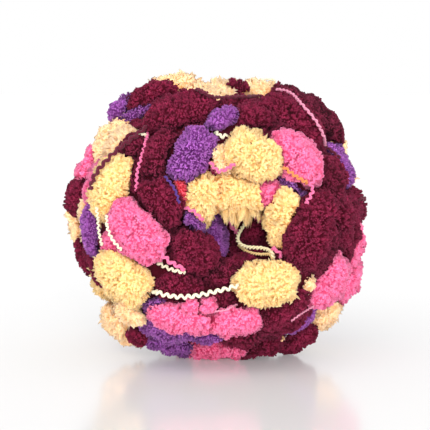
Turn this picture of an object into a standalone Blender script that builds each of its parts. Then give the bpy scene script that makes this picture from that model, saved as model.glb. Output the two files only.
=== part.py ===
"""A wound ball of pom pom yarn, in metres, +Z up.

The yarn is a thin chain with a soft plush puff every few centimetres. It is wound round and
round a hollow, so that the turns pass the hollow on one side and cross the rim. The front, with
the hollow that the inner end is drawn from, faces -Y. The origin is under the middle of the ball,
on the surface it stands on, where its own weight has pressed a small flat spot.

The whole ball is one solid: the wound form, with each puff of the outer turns standing on it.
"""

import math
import random
from collections import namedtuple

import bmesh
import bpy
from mathutils import Vector

MM = 0.001

# The ball's overall size and the hollow that the turns leave at its front. The turns dip towards
# the hollow: a dish of 1 would bring them all the way down to its axis, and 0 would leave them flat.
BALL_WIDTH = 190 * MM
BALL_HEIGHT = 183 * MM
BALL_DEPTH = 158 * MM
HOLLOW_RIGHT = 10 * MM
HOLLOW_UP = -3 * MM
HOLLOW_RADIUS = 17 * MM
HOLLOW_FLOOR = 8 * MM
FRONT_DISH = 0.82
BACK_DISH = 0.45

# A puff of the outer turns: its usual size, how blunt its ends are (2 is an ellipse), and the most
# that its ends hang below its middle, as a share of its length. PUFF_SEAT is how far the middles of
# the puffs lie under the ball's outline, and CORE_INSET how far the inner turns lie under those.
PUFF_LENGTH = 44 * MM
PUFF_WIDTH = 28 * MM
PUFF_THICKNESS = 0.86
PUFF_BLUNTNESS = 2.6
MOST_SAG = 0.2
PUFF_SEAT = 13 * MM
CORE_INSET = 5 * MM
CORE_SPOKES = 48
CORE_STEP = math.radians(15)

# The puffs' places are stated as they look from the front, from this far off and this high up
VIEW_DISTANCE = 1000 * MM
VIEW_RISE = math.radians(6)
STEPS_TO_SETTLE = 30

# The flat spot: the height of the ball's middle over the surface that it rests on
MIDDLE_HEIGHT = 90.5 * MM

# The surface's fineness: the grain that the puffs are merged at, and the number of faces left
GRAIN = 2 * MM
SMOOTHING_ROUNDS = 3
FACES = 11300

OUTER_X = BALL_WIDTH / 2 - PUFF_SEAT
OUTER_Z = BALL_HEIGHT / 2 - PUFF_SEAT
FACE = BALL_DEPTH / 2 - PUFF_SEAT

# The outer turns as they show from the front, in millimetres from the ball's middle and degrees.
# turn is the puff's slope, rising to the right, and sink is how deep it lies under the outermost.
Puff = namedtuple("Puff", "right up length width turn sink")
FRONT_PUFFS = (
    # Upper left
    Puff(-23, 66.5, 47, 29, 2, -2),
    Puff(-38, 40, 37, 21, 75, 3),
    Puff(-16, 40, 40, 25, 52, 2),
    Puff(4, 63.5, 31, 13, 60, -1),
    Puff(-43, 77.5, 36, 17, 28, 0),
    Puff(-50, 68, 25, 12, 32, -2),
    Puff(-59.5, 69.5, 25, 13, 58, 2),
    Puff(-54, 43, 23, 19, 60, 4),
    Puff(-64, 51, 46, 23, 40, 4),
    Puff(-81, 33, 30, 16, 75, 6),
    # Top edge
    Puff(-29, 83, 30, 18, 5, 12),
    Puff(-4, 79, 38, 18, -8, 7),
    Puff(31, 78, 32, 18, 5, 14),
    Puff(14, 84, 15, 7.5, 0, 1),
    Puff(16, 72, 29, 12, 0, 5),
    # Upper right
    Puff(23, 63, 29, 20, 5, 3),
    Puff(47.5, 61.5, 49, 30, -28, -3),
    Puff(53.5, 67.5, 48, 28, -42, 7),
    Puff(64.5, 65.5, 48, 19, -52, 7),
    Puff(77, 46, 19, 14, -60, 11),
    Puff(78, 33, 34, 17, -52, 0),
    Puff(83, 27, 22, 9, -78, 14),
    Puff(50, 37.5, 42, 30, -50, 3),
    Puff(24, 39.5, 40, 28.5, -30, -3),
    Puff(4, 37, 20, 16, 80, 1),
    Puff(2, 31, 17, 9, 5, 5),
    # Round the hollow
    Puff(-9, 13, 36, 27, 82, -2),
    Puff(14, 16, 38, 32, 8, -3),
    Puff(32, 16, 22, 19, 0, 1),
    Puff(50, 19, 22, 9, -40, 2),
    Puff(43, 0, 41, 24, 73, 0),
    Puff(41, -22, 12, 8, 0, 6),
    Puff(46, -19, 26, 10, 80, 6),
    Puff(-35, 8, 40, 27, -62, 1),
    Puff(-23, 14, 25, 9, -82, -1),
    Puff(-15, -22, 39, 29, -22, -4),
    Puff(-15, -5, 25, 11, -36, -9),
    Puff(-1.5, -10, 35, 17, -50, -5),
    Puff(25, -10, 28, 21, 15, 11),
    Puff(28, 2, 15, 10, 60, 14),
    Puff(12, -19, 22, 13, -30, 25),
    Puff(21, -25, 23, 9, 10, 6),
    # Left
    Puff(-67, 20, 45, 29, 75, 0),
    Puff(-88, 13, 27, 17, 85, 4),
    Puff(-80, -7.5, 38, 15, -85, -3),
    Puff(-90, -3, 27, 14, 90, 12),
    Puff(-84.5, -26, 27, 11, -80, 5),
    Puff(-75, -4, 13, 7, 85, 8),
    Puff(-51, -9.5, 45, 30, -50, -3),
    Puff(-66, -20, 23, 13, -45, 1),
    # Right
    Puff(60, -9, 54, 29, 70, -2),
    Puff(83, -9, 54, 21, -78, -3),
    Puff(73, 19, 26, 20, 60, 2),
    Puff(86, -22, 41, 17, 88, 6),
    Puff(70.5, -41.5, 38, 27, 60, -3),
    Puff(82, -42, 32, 19, 60, 10),
    Puff(58, -43, 17, 8, 85, 5),
    # Lower left
    Puff(-59.5, -38.5, 43, 32, -28, -1),
    Puff(-59.5, -69.5, 34, 22, -60, 1),
    Puff(-55.5, -61.5, 22, 15, -12, -16),
    Puff(-51, -76.5, 14, 12, 80, -24),
    Puff(-29, -78, 40, 23, -8, -7),
    Puff(-23, -65.2, 43, 20, -2, -2),
    Puff(-15.5, -58, 11, 10, 85, -4),
    Puff(-6.5, -57.5, 12, 11, 75, -4),
    Puff(-40, -56, 18, 12, 10, 1),
    Puff(-24, -44, 31, 18, -5, 4),
    Puff(-8, -55, 54, 14, 0, 6),
    Puff(8, -35, 46, 22, 12, 2),
    # Lower right
    Puff(32, -42, 42, 29, 3, -5),
    Puff(11, -67, 36, 20, 8, 1),
    Puff(4, -83, 40, 20, 12, -10),
    Puff(-6, -77, 22, 7, 10, 0),
    Puff(25, -83, 38, 19, 42, -6),
    Puff(42.5, -59.5, 38, 19, 42, 2),
    Puff(54, -64.5, 27, 14, 25, -7),
    Puff(52, -78, 28, 15, 20, 3),
    Puff(38, -80, 12, 7, 60, -8),
    Puff(70, -61, 24, 18, 35, 9),
)

# The turns round the rim and the back lie row by row, wherever there is room. A row is given by its
# angle over the rim: below 0 on its front half, 90 on the back, and more towards the back's middle.
# Those on the front half lie a little deeper than the front turns that cross them. ROOM is how
# near two middles may come, as a share of both widths together. A front turn also keeps that
# room round two points of its own, END_ROOM of its length to each side of its middle.
ROWS = range(-42, 176, 6)
ROW_STEP = 7 * MM
ROOM = 0.43
END_ROOM = 0.3
FRONT_ROWS_SINK = 7 * MM
STEEPEST = 70
SIZE_SPREAD = (0.9, 1.12)
LIFT_SPREAD = 2 * MM
SPREAD = random.Random(7)

# The turns that line the hollow: their number, how far in front of the ball's middle they lie, and
# their size there
HOLLOW_PUFFS = 5
HOLLOW_PUFF_DEPTH = 14 * MM
HOLLOW_PUFF_LENGTH = 31 * MM
HOLLOW_PUFF_WIDTH = 25 * MM

# The puff that takes the weight, how far back it lies, and the room that the turns round it leave
FOOT_LENGTH = 56 * MM
FOOT_WIDTH = 46 * MM
FOOT_BACK = 4 * MM
FOOT_ROOM = 38 * MM


def rim_reach(angle):
    """How far the outermost puffs' middles lie from the hollow's axis, in that direction."""
    c, s = math.cos(angle), math.sin(angle)
    a = (c / OUTER_X) ** 2 + (s / OUTER_Z) ** 2
    b = HOLLOW_RIGHT * c / OUTER_X**2 + HOLLOW_UP * s / OUTER_Z**2
    k = (HOLLOW_RIGHT / OUTER_X) ** 2 + (HOLLOW_UP / OUTER_Z) ** 2 - 1
    return (-b + math.sqrt(b * b - a * k)) / a


def tube(angle):
    """The middle and half the width of the ring of turns in that direction from the hollow."""
    reach = rim_reach(angle)
    return (reach + HOLLOW_RADIUS) / 2, (reach - HOLLOW_RADIUS) / 2


def across(x, z, behind):
    """Where x, z lies across the ring of turns: -1 at the hollow, 1 at the rim."""
    dx, dz = x - HOLLOW_RIGHT, z - HOLLOW_UP
    middle, half = tube(math.atan2(dz, dx))
    share = (math.hypot(dx, dz) - middle) / half
    return share if share > 0 else share * (BACK_DISH if behind else FRONT_DISH)


def wound(point):
    """1 on the surface that the middles of the outer puffs lie on, and less inside it."""
    return across(point.x, point.z, point.y > 0) ** 2 + (point.y / FACE) ** 2


def outward(point):
    """The direction straight out of the wound form there."""
    step = 0.2 * MM
    slope = [
        wound(point + axis * step) - wound(point - axis * step)
        for axis in (Vector((1, 0, 0)), Vector((0, 1, 0)), Vector((0, 0, 1)))
    ]
    return Vector(slope).normalized()


def seen_scale(place):
    """How much smaller a thing there is than it looks, because it is nearer than the ball's middle."""
    return 1 + (place.y * math.cos(VIEW_RISE) - place.z * math.sin(VIEW_RISE)) / VIEW_DISTANCE


def seen_place(right, up, sink):
    """The point of the wound form's front that shows at right, up, that far below its surface."""
    place = Vector((right, -FACE, up))
    for _ in range(STEPS_TO_SETTLE):
        scale = seen_scale(place)
        place.x = right * scale
        place.z = (up * scale - place.y * math.sin(VIEW_RISE)) / math.cos(VIEW_RISE)
        share = max(-1, min(1, across(place.x, place.z, False)))
        place.y = (place.y + sink - FACE * math.sqrt(1 - share * share)) / 2
    return place


def puff_frame(place, normal, turn):
    """The puff's own axes: along it, across it, and out of the ball."""
    seen = Vector((math.cos(turn), 0, math.sin(turn)))
    along = (seen - normal * seen.dot(normal)).normalized()
    return along, normal.cross(along), normal


def add_puff(mesh, place, frame, length, width):
    """A plump blunt-ended puff, bent along the ball's curve."""
    along, over, out = frame
    curve = (outward(place + along * MM) - outward(place - along * MM)).dot(along) / (2 * MM)
    sag = min(max(0, curve * length / 8), MOST_SAG) * length
    made = bmesh.ops.create_uvsphere(mesh, u_segments=16, v_segments=12, radius=0.5)
    for vert in made["verts"]:
        end = max(-1, min(1, vert.co.z * 2))
        round_there = math.hypot(vert.co.x, vert.co.y) * 2
        fullness = (1 - abs(end) ** PUFF_BLUNTNESS) ** (1 / PUFF_BLUNTNESS)
        if round_there > 1e-6:
            vert.co.x *= fullness / round_there
            vert.co.y *= fullness / round_there
        vert.co = (
            place
            + along * vert.co.z * length
            + over * vert.co.x * width
            + out * (vert.co.y * width * PUFF_THICKNESS - sag * end**2)
        )


def add_front(mesh):
    """The turns that show from the front. Returns the places that each puff takes, and its width there."""
    places = []
    for puff in FRONT_PUFFS:
        place = seen_place(puff.right * MM, puff.up * MM, puff.sink * MM)
        frame = puff_frame(place, outward(place), math.radians(puff.turn))
        scale = seen_scale(place) * MM
        add_puff(mesh, place, frame, puff.length * scale, puff.width * scale)
        for way in (-END_ROOM, 0, END_ROOM):
            places.append((place + frame[0] * puff.length * scale * way, puff.width * MM))
    return places


def row_place(over, angle):
    """A point on the wound form's rim or back, that far over the rim."""
    middle, half = tube(angle)
    turn = math.radians(over)
    if over <= 90:
        reach, y = middle + half * math.cos(turn), FACE * math.sin(turn)
    else:
        reach = middle * (180 - over) / 90
        share = BACK_DISH * (reach - middle) / half
        y = FACE * math.sqrt(1 - share * share)
    place = Vector((HOLLOW_RIGHT, y, HOLLOW_UP))
    return place + Vector((math.cos(angle), 0, math.sin(angle))) * reach


def add_rows(mesh, taken):
    """The turns round the rim and the back, in whatever room the turns before them leave."""
    for over in ROWS:
        girth = 2 * math.pi * (row_place(over, 0).x - HOLLOW_RIGHT)
        steps = max(1, round(girth / ROW_STEP))
        start = SPREAD.random()
        for step in range(steps):
            angle = 2 * math.pi * (start + step / steps)
            place = row_place(over, angle)
            width = PUFF_WIDTH * SPREAD.uniform(*SIZE_SPREAD)
            if any((place - other).length < ROOM * (width + wide) for other, wide in taken):
                continue
            out = outward(place)
            slope = math.radians(SPREAD.uniform(-STEEPEST, STEEPEST))
            round_hollow = Vector((-math.sin(angle), 0, math.cos(angle)))
            along = round_hollow * math.cos(slope) + out.cross(round_hollow) * math.sin(slope)
            along = (along - out * along.dot(out)).normalized()
            place += out * SPREAD.uniform(-LIFT_SPREAD, LIFT_SPREAD)
            if over < 0:
                place -= out * FRONT_ROWS_SINK
            length = PUFF_LENGTH * SPREAD.uniform(*SIZE_SPREAD)
            add_puff(mesh, place, (along, out.cross(along), out), length, width)
            taken.append((place, width))


def add_foot(mesh):
    """The puff right under the ball. Returns the place and the room that it takes."""
    place = Vector((0, 0, row_place(0, -math.pi / 2).z))
    frame = Vector((1, 0, 0)), Vector((0, 1, 0)), Vector((0, 0, -1))
    add_puff(mesh, place + Vector((0, FOOT_BACK, 0)), frame, FOOT_LENGTH, FOOT_WIDTH)
    return place, FOOT_ROOM


def add_hollow_wall(mesh):
    """The turns that line the hollow, and the one that closes its floor."""
    for k in range(HOLLOW_PUFFS):
        angle = 2 * math.pi * k / HOLLOW_PUFFS
        spoke = Vector((math.cos(angle), 0, math.sin(angle)))
        place = Vector((HOLLOW_RIGHT, -HOLLOW_PUFF_DEPTH, HOLLOW_UP)) + spoke * HOLLOW_RADIUS
        frame = Vector((-math.sin(angle), 0, math.cos(angle))), Vector((0, 1, 0)), -spoke
        add_puff(mesh, place, frame, HOLLOW_PUFF_LENGTH, HOLLOW_PUFF_WIDTH)
    floor = Vector((HOLLOW_RIGHT, HOLLOW_FLOOR, HOLLOW_UP))
    frame = Vector((1, 0, 0)), Vector((0, 0, 1)), Vector((0, -1, 0))
    add_puff(mesh, floor, frame, PUFF_LENGTH, PUFF_WIDTH)


def core_profile(angle):
    """The inner turns' outline from the hollow's floor, over the front, rim and back, to the axis.

    Each point is a reach from the hollow's axis and a place along it.
    """
    middle, half = tube(angle)
    width, face = half - CORE_INSET, FACE - CORE_INSET
    lip = middle - width
    outline = [(lip / 2, HOLLOW_FLOOR), (lip, HOLLOW_FLOOR - HOLLOW_PUFF_DEPTH)]
    turn = math.pi
    while turn > -math.pi / 2 - CORE_STEP / 2:
        share = math.cos(turn)
        y = face * math.sin(turn)
        if share < 0 < turn:
            y = face * math.sqrt(1 - (share * FRONT_DISH) ** 2)
        outline.append((middle + width * share, -y))
        turn -= CORE_STEP
    for portion in (0.8, 0.6, 0.4, 0.2):
        reach = middle * portion
        share = BACK_DISH * (reach - middle) / half
        outline.append((reach, face * math.sqrt(1 - share * share)))
    return outline


def add_core(mesh):
    """The inner turns, packed so close that they count as solid."""
    axis = Vector((HOLLOW_RIGHT, 0, HOLLOW_UP))
    columns = []
    for k in range(CORE_SPOKES):
        angle = 2 * math.pi * k / CORE_SPOKES
        spoke = Vector((math.cos(angle), 0, math.sin(angle)))
        columns.append([
            mesh.verts.new(axis + spoke * reach + Vector((0, y, 0)))
            for reach, y in core_profile(angle)
        ])
    floor = mesh.verts.new(axis + Vector((0, HOLLOW_FLOOR, 0)))
    back = mesh.verts.new(axis + Vector((0, columns[0][-1].co.y, 0)))
    for left, right in zip(columns, columns[1:] + columns[:1]):
        mesh.faces.new((floor, left[0], right[0]))
        for row in range(len(left) - 1):
            mesh.faces.new((left[row], left[row + 1], right[row + 1], right[row]))
        mesh.faces.new((back, right[-1], left[-1]))


def evaluated(obj):
    """The object's mesh after its modifiers."""
    bpy.context.view_layer.update()
    graph = bpy.context.evaluated_depsgraph_get()
    return bpy.data.meshes.new_from_object(obj.evaluated_get(graph))


def keep_outer_shell(mesh):
    """Drops the small shells round any air shut in between the puffs."""
    shape = bmesh.new()
    shape.from_mesh(mesh)
    left, shells = set(shape.verts), []
    while left:
        shell, edge = set(), [left.pop()]
        while edge:
            vert = edge.pop()
            shell.add(vert)
            near = {e.other_vert(vert) for e in vert.link_edges} & left
            left -= near
            edge.extend(near)
        shells.append(shell)
    outer = max(shells, key=len)
    bmesh.ops.delete(shape, geom=[v for v in shape.verts if v not in outer], context="VERTS")
    shape.to_mesh(mesh)
    shape.free()


def merge_puffs(ball):
    """Makes the overlapping puffs and core one closed surface."""
    merge = ball.modifiers.new("merge", "REMESH")
    merge.mode = "VOXEL"
    merge.voxel_size = GRAIN
    merged = evaluated(ball)
    ball.modifiers.remove(merge)
    keep_outer_shell(merged)
    ball.data = merged


def thin_faces(ball):
    """Softens the merged surface and leaves as many faces as the puffs' forms need."""
    soften = ball.modifiers.new("soften", "SMOOTH")
    soften.factor = 0.5
    soften.iterations = SMOOTHING_ROUNDS
    triangles = sum(len(face.vertices) - 2 for face in ball.data.polygons)
    thin = ball.modifiers.new("thin", "DECIMATE")
    thin.ratio = FACES / triangles
    thinned = evaluated(ball)
    ball.modifiers.clear()
    ball.data = thinned


def floor_cutter():
    """A block whose top is the surface that the ball's flat spot rests on."""
    bpy.ops.mesh.primitive_cube_add(size=1)
    cutter = bpy.context.object
    cutter.name = "floor_cutter"
    depth = BALL_HEIGHT / 2
    cutter.scale = (2 * BALL_WIDTH, 2 * BALL_WIDTH, depth)
    cutter.location = (0, 0, -depth / 2)
    cutter.hide_render = True
    cutter.display_type = "WIRE"
    return cutter


def centre_on_flat_spot(ball):
    """Puts the middle of the ball's width and depth over the origin."""
    for axis in (0, 1):
        places = [vert.co[axis] for vert in ball.data.vertices]
        shift = (min(places) + max(places)) / 2
        for vert in ball.data.vertices:
            vert.co[axis] -= shift
    for vert in ball.data.vertices:
        vert.co.z += MIDDLE_HEIGHT


def pile_material():
    """Wine-red plush, the colour of most puffs."""
    material = bpy.data.materials.new("wine_pile")
    material.use_nodes = True
    surface = material.node_tree.nodes["Principled BSDF"]
    surface.inputs["Base Color"].default_value = (0.19, 0.012, 0.045, 1)
    surface.inputs["Roughness"].default_value = 0.95
    surface.inputs["Metallic"].default_value = 0
    return material


def build_ball():
    shape = bmesh.new()
    add_core(shape)
    add_rows(shape, [add_foot(shape)] + add_front(shape))
    add_hollow_wall(shape)
    bmesh.ops.recalc_face_normals(shape, faces=shape.faces)
    mesh = bpy.data.meshes.new("yarn_ball")
    shape.to_mesh(mesh)
    shape.free()
    ball = bpy.data.objects.new("yarn_ball", mesh)
    bpy.context.scene.collection.objects.link(ball)
    merge_puffs(ball)
    thin_faces(ball)
    centre_on_flat_spot(ball)
    ball.data.materials.clear()
    ball.data.materials.append(pile_material())
    ball.data.shade_smooth()
    press = ball.modifiers.new("flat_spot", "BOOLEAN")
    press.operation = "DIFFERENCE"
    press.object = floor_cutter()


for old in list(bpy.data.objects):
    bpy.data.objects.remove(old)
build_ball()
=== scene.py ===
import math
import random
from collections import namedtuple

import bpy
import numpy as np
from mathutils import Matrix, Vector
from mathutils.bvhtree import BVHTree


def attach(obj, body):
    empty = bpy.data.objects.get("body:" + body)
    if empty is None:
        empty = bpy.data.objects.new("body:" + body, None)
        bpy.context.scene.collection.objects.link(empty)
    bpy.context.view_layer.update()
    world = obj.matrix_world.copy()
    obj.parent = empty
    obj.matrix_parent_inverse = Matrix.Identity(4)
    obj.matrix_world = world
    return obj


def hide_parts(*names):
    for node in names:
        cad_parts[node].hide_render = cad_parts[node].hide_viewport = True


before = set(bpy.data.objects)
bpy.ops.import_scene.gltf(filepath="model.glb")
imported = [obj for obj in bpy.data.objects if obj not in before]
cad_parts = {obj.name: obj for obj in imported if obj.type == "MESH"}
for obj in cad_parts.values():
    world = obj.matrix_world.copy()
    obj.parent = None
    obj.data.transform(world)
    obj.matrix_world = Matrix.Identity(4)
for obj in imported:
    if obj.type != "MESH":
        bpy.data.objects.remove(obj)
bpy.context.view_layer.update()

MM = 0.001


# The wound form: a thick ring of yarn round a hollow that opens to the front, pressed a little flat
# where the ball stands. Places are taken from its middle, x to the right, y to the back and z up.
# ORIGIN is the ball's own origin, under that middle.

BALL_WIDTH = 190 * MM
BALL_HEIGHT = 183 * MM
BALL_DEPTH = 158 * MM
HOLLOW_RIGHT = 10 * MM
HOLLOW_UP = -3 * MM
HOLLOW_RADIUS = 17 * MM
HOLLOW_FLOOR = 8 * MM
FRONT_DISH = 0.82
BACK_DISH = 0.45
PUFF_SEAT = 13 * MM
OUTER_X = BALL_WIDTH / 2 - PUFF_SEAT
OUTER_Z = BALL_HEIGHT / 2 - PUFF_SEAT
FACE = BALL_DEPTH / 2 - PUFF_SEAT
MIDDLE_HEIGHT = 90.5 * MM
ORIGIN = Vector((-0.97 * MM, -0.92 * MM, -MIDDLE_HEIGHT))
VIEW_DISTANCE = 1000 * MM
VIEW_RISE = math.radians(6)
STEPS_TO_SETTLE = 30


def ring(c, s):
    """The middle and half the width of the ring of turns, in the direction c, s from the hollow."""
    a = (c / OUTER_X) ** 2 + (s / OUTER_Z) ** 2
    b = HOLLOW_RIGHT * c / OUTER_X**2 + HOLLOW_UP * s / OUTER_Z**2
    k = (HOLLOW_RIGHT / OUTER_X) ** 2 + (HOLLOW_UP / OUTER_Z) ** 2 - 1
    rim = (-b + np.sqrt(b * b - a * k)) / a
    return (rim + HOLLOW_RADIUS) / 2, (rim - HOLLOW_RADIUS) / 2


def ring_at(angle):
    return ring(math.cos(angle), math.sin(angle))


def across(x, z, behind):
    """Where x, z lies across the ring of turns: -1 at the hollow, 1 at the rim."""
    dx, dz = x - HOLLOW_RIGHT, z - HOLLOW_UP
    middle, half = ring_at(math.atan2(dz, dx))
    share = (math.hypot(dx, dz) - middle) / half
    return share if share > 0 else share * (BACK_DISH if behind else FRONT_DISH)


def wound(point):
    """1 on the surface that the middles of the outer puffs lie on, and less inside it."""
    return across(point.x, point.z, point.y > 0) ** 2 + (point.y / FACE) ** 2


def outward(point):
    """The direction straight out of the wound form there."""
    step = 0.2 * MM
    slope = [
        wound(point + axis * step) - wound(point - axis * step)
        for axis in (Vector((1, 0, 0)), Vector((0, 1, 0)), Vector((0, 0, 1)))
    ]
    return Vector(slope).normalized()


def seen_scale(place):
    """How much smaller a thing there is than it looks, because it is nearer than the ball's middle."""
    return 1 + (place.y * math.cos(VIEW_RISE) - place.z * math.sin(VIEW_RISE)) / VIEW_DISTANCE


def seen_place(right, up, sink):
    """The point of the wound form's front that shows at right, up, that far below its surface."""
    place = Vector((right, -FACE, up))
    for _ in range(STEPS_TO_SETTLE):
        scale = seen_scale(place)
        place.x = right * scale
        place.z = (up * scale - place.y * math.sin(VIEW_RISE)) / math.cos(VIEW_RISE)
        share = max(-1, min(1, across(place.x, place.z, False)))
        place.y = (place.y + sink - FACE * math.sqrt(1 - share * share)) / 2
    return place


def row_place(over, angle):
    """A point on the wound form's rim or back, that many degrees over the rim."""
    middle, half = ring_at(angle)
    turn = math.radians(over)
    if over <= 90:
        reach, y = middle + half * math.cos(turn), FACE * math.sin(turn)
    else:
        reach = middle * (180 - over) / 90
        share = BACK_DISH * (reach - middle) / half
        y = FACE * math.sqrt(1 - share * share)
    place = Vector((HOLLOW_RIGHT, y, HOLLOW_UP))
    return place + Vector((math.cos(angle), 0, math.sin(angle))) * reach


# The puffs of the outer turns. Each is a soft roll of pile that grows out of the chain, dyed in one
# piece with the yarn, so that some change colour along their length. They lie as they were wound.

# Each puff as it shows from the front, with lengths in millimetres, and two where the dye changes along
# it. right and up are its middle's place, and sink is how deep that lies. turn is its slope in degrees,
# hang how far the tufts under it hang down, and tone how dark it is painted beside the dye: painted shade
# for the puffs that lie further back.
Puff = namedtuple("Puff", "dye right up length width turn sink hang tone", defaults=(0, 1))
FRONT_PUFFS = (
    # Upper left
    Puff("wine", -23, 66.5, 47, 29, 2, -2),
    Puff("wine", -38, 40, 37, 21, 75, 3, tone=0.85),
    Puff("purple", -16, 40, 40, 25, 52, 2),
    Puff("purple", 4, 63.5, 31, 13, 60, -1),
    Puff("wine", -43, 77.5, 36, 17, 28, 0),
    Puff("purple", -50, 68, 25, 12, 32, -2),
    Puff("purple", -59.5, 69.5, 25, 13, 58, 2),
    Puff("wine", -54, 43, 23, 19, 60, 4, tone=0.85),
    Puff("cream", -64, 51, 46, 23, 40, 4),
    Puff("pink", -81, 33, 30, 16, 75, 6),
    # Top edge
    Puff("cream", -29, 83, 30, 18, 5, 12),
    Puff("cream", -4, 79, 38, 18, -8, 7),
    Puff("cream", 31, 78, 32, 18, 5, 14),
    Puff("wine", 14, 84, 15, 7.5, 0, 1),
    Puff("wine", 16, 72, 29, 12, 0, 5),
    # Upper right
    Puff("wine", 23, 63, 29, 20, 5, 3),
    Puff("wine", 47.5, 61.5, 49, 30, -28, -3),
    Puff("wine", 53.5, 67.5, 48, 28, -42, 7, tone=0.6),
    Puff("wine", 64.5, 65.5, 48, 19, -52, 7, tone=0.6),
    Puff("cream", 77, 46, 19, 14, -60, 11),
    Puff("purple", 78, 33, 34, 17, -52, 0),
    Puff("cream", 83, 27, 22, 9, -78, 14),
    Puff("pink", 50, 37.5, 42, 30, -50, 3),
    Puff("yellow", 24, 39.5, 40, 28.5, -30, -3),
    Puff("cream", 4, 37, 20, 16, 80, 1),
    Puff("pink", 2, 31, 17, 9, 5, 5),
    # Round the hollow
    Puff("yellow", -9, 13, 36, 27, 82, -2, 4),
    Puff("yellow", 14, 16, 38, 32, 8, -3, 8),
    Puff("pink", 32, 16, 22, 19, 0, 1),
    Puff("purple", 50, 19, 22, 9, -40, 2),
    Puff("yellow", 43, 0, 41, 24, 73, 0),
    Puff("wine", 41, -22, 12, 8, 0, 6),
    Puff("wine", 46, -19, 26, 10, 80, 6),
    Puff("wine", -35, 8, 40, 27, -62, 1),
    Puff("coral", -23, 14, 25, 9, -82, -1),
    Puff("wine", -15, -22, 39, 29, -22, -4),
    Puff("purple", -15, -5, 25, 11, -36, -9),
    Puff("purple", -1.5, -10, 35, 17, -50, -5),
    Puff("wine", 25, -10, 28, 21, 15, 11),
    Puff("pink", 28, 2, 15, 10, 60, 14),
    Puff("wine", 12, -19, 22, 13, -30, 25),
    Puff("wine", 21, -25, 23, 9, 10, 6),
    # Left
    Puff("yellow", -67, 20, 45, 29, 75, 0),
    Puff("wine", -88, 13, 27, 17, 85, 4),
    Puff("purple", -80, -7.5, 38, 15, -85, -3),
    Puff("cream", -90, -3, 27, 14, 90, 12),
    Puff("wine", -84.5, -26, 27, 11, -80, 5),
    Puff("yellow", -75, -4, 13, 7, 85, 8),
    Puff("pink", -51, -9.5, 45, 30, -50, -3),
    Puff("pink", -66, -20, 23, 13, -45, 1),
    # Right
    Puff("wine", 60, -9, 54, 29, 70, -2),
    Puff("wine", 83, -9, 54, 21, -78, -3, tone=0.72),
    Puff("wine", 73, 19, 26, 20, 60, 2, tone=0.72),
    Puff("pink", 86, -22, 41, 17, 88, 6),
    Puff("pink", 70.5, -41.5, 38, 27, 60, -3),
    Puff("pink", 82, -42, 32, 19, 60, 10),
    Puff("cream", 58, -43, 17, 8, 85, 5),
    # Lower left
    Puff("yellow", -59.5, -38.5, 43, 32, -28, -1),
    Puff("cream", -59.5, -69.5, 34, 22, -60, 1),
    Puff("cream", -55.5, -61.5, 22, 15, -12, -16),
    Puff("wine", -51, -76.5, 14, 12, 80, -24),
    Puff("purple", -29, -78, 40, 23, -8, -7),
    Puff("pink", -23, -65.2, 43, 20, -2, -2),
    Puff("pink", -15.5, -58, 11, 10, 85, -4),
    Puff("pink", -6.5, -57.5, 12, 11, 75, -4),
    Puff("purple", -40, -56, 18, 12, 10, 1),
    Puff("wine", -24, -44, 31, 18, -5, 4),
    Puff("wine", -8, -55, 54, 14, 0, 6),
    Puff("wine", 8, -35, 46, 22, 12, 2),
    # Lower right
    Puff("yellow", 32, -42, 42, 29, 3, -5),
    Puff("pink", 11, -67, 36, 20, 8, 1),
    Puff("pink", 4, -83, 40, 20, 12, -10),
    Puff("purple", -6, -77, 22, 7, 10, 0),
    Puff("wine", 25, -83, 38, 19, 42, -6),
    Puff("wine", 42.5, -59.5, 38, 19, 42, 2),
    Puff("purple", 54, -64.5, 27, 14, 25, -7),
    Puff("wine", 52, -78, 28, 15, 20, 3),
    Puff("cream", 38, -80, 12, 7, 60, -8),
    Puff("cream", 70, -61, 24, 18, 35, 9),
)

PUFF_LENGTH = 44 * MM
PUFF_WIDTH = 28 * MM
PUFF_THICKNESS = 0.86
PUFF_BLUNTNESS = 2.6
MOST_SAG = 0.2
ROWS = range(-42, 176, 6)
ROW_STEP = 7 * MM
ROOM = 0.43
END_ROOM = 0.3
FRONT_ROWS_SINK = 7 * MM
STEEPEST = 70
SIZE_SPREAD = (0.9, 1.12)
LIFT_SPREAD = 2 * MM
SPREAD = random.Random(7)
HOLLOW_PUFFS = 5
HOLLOW_PUFF_DEPTH = 14 * MM
HOLLOW_PUFF_LENGTH = 31 * MM
HOLLOW_PUFF_WIDTH = 25 * MM
FOOT_LENGTH = 56 * MM
FOOT_WIDTH = 46 * MM
FOOT_ROOM = 38 * MM
FOOT_BACK = 4 * MM
ROW_DYES = {"wine": 9, "yellow": 4, "cream": 2, "pink": 5, "purple": 4}

# The dyes that show round the front of the rim, anticlockwise from the left, each up to that angle
RIM_DYES = {
    -170: "cream", -160: "wine", -140: "yellow", -98: "purple", -80: "pink", -48: "wine", -36: "cream",
    -5: "pink", 22: "wine", 30: "purple", 60: "wine", 112: "cream", 125: "wine", 138: "purple",
    150: "cream", 163: "pink", 176: "wine", 180: "cream",
}
RIM_BACK = 30

# A puff as it lies on the ball. Its axes run along, across and out of it, its ends bend down by its sag,
# and front says that its pile is as fine as on the front.
Roll = namedtuple("Roll", "place axes length width sag dye front hang tone")
rolls = []


def lay(place, axes, length, width, dye, front=False, hang=0, tone=1):
    along = axes[0]
    curve = (outward(place + along * MM) - outward(place - along * MM)).dot(along) / (2 * MM)
    sag = min(max(0, curve * length / 8), MOST_SAG) * length
    rows = np.array([tuple(axis) for axis in axes])
    rolls.append(Roll(np.array(place), rows, length, width, sag, dye, front, hang, tone))


def slanted(out, angle, slope):
    """A puff's axes along, across and out, where it runs at that slope to the turn round the hollow."""
    round_hollow = Vector((-math.sin(angle), 0, math.cos(angle)))
    along = round_hollow * math.cos(slope) + out.cross(round_hollow) * math.sin(slope)
    along = (along - out * along.dot(out)).normalized()
    return along, out.cross(along), out


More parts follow.
